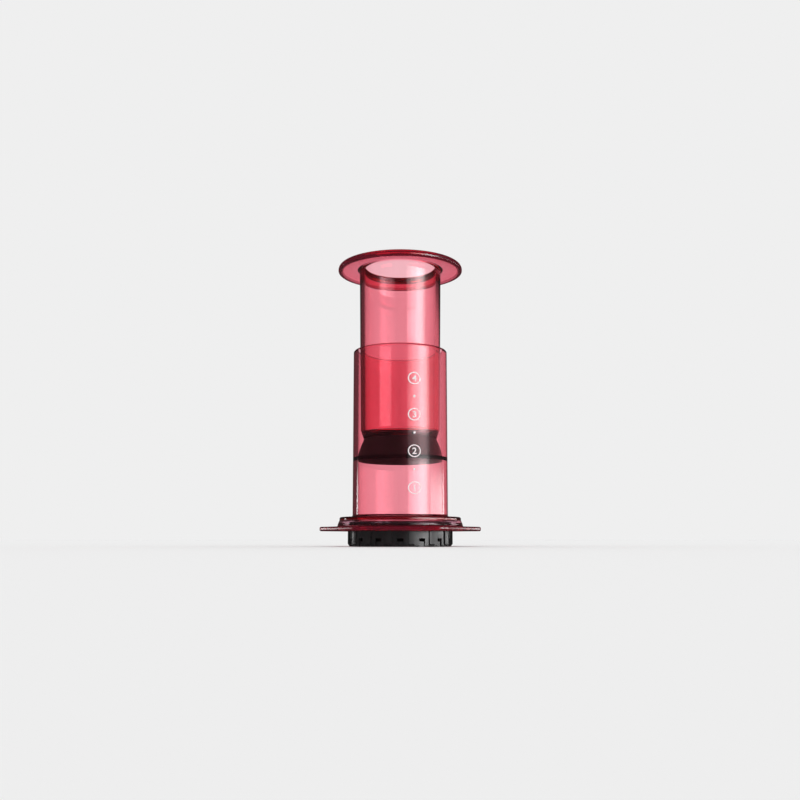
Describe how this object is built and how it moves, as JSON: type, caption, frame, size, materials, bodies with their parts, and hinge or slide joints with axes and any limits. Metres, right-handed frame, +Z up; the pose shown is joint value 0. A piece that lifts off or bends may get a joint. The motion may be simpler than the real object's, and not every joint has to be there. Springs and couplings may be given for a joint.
{
  "type": "hand press coffee maker",
  "caption": "Clear red plunger press for coffee: a brewing tube on a hexagonal brim, a sliding plunger with a rubber seal, and a perforated twist-on filter cap.",
  "frame": {"origin": "on the tubes' common axis, on the plane that the filter cap stands on", "axes": "+Z up along the tubes; two corners of the hexagonal brim on the X axis; two flats of the brim square to Y, the pictured side facing -Y"},
  "size_m": [0.1116, 0.0988, 0.2],
  "materials": {
    "clear_red": "clear tinted copolyester, polished",
    "black_rubber": "smooth, matt",
    "black_plastic": "fine satin moulding",
    "paper": "unbleached-white filter paper"
  },
  "bodies": {
    "chamber": {"chamber": "clear_red"},
    "plunger": {"plunger": "clear_red", "plunger_seal": "black_rubber"},
    "cap": {"filter_cap": "black_plastic", "paper_filter": "paper"}
  },
  "joints": [
    {"name": "plunger_slide", "type": "slide", "parent": "chamber", "child": "plunger", "axis": [0, 0, 1], "range_m": [-0.0547, 0.0835]},
    {"name": "cap_twist", "type": "hinge", "parent": "chamber", "child": "cap", "pos_m": [0, 0, 0.0074], "axis": [0, 0, 1], "range_deg": [-12, 0]}
  ]
}
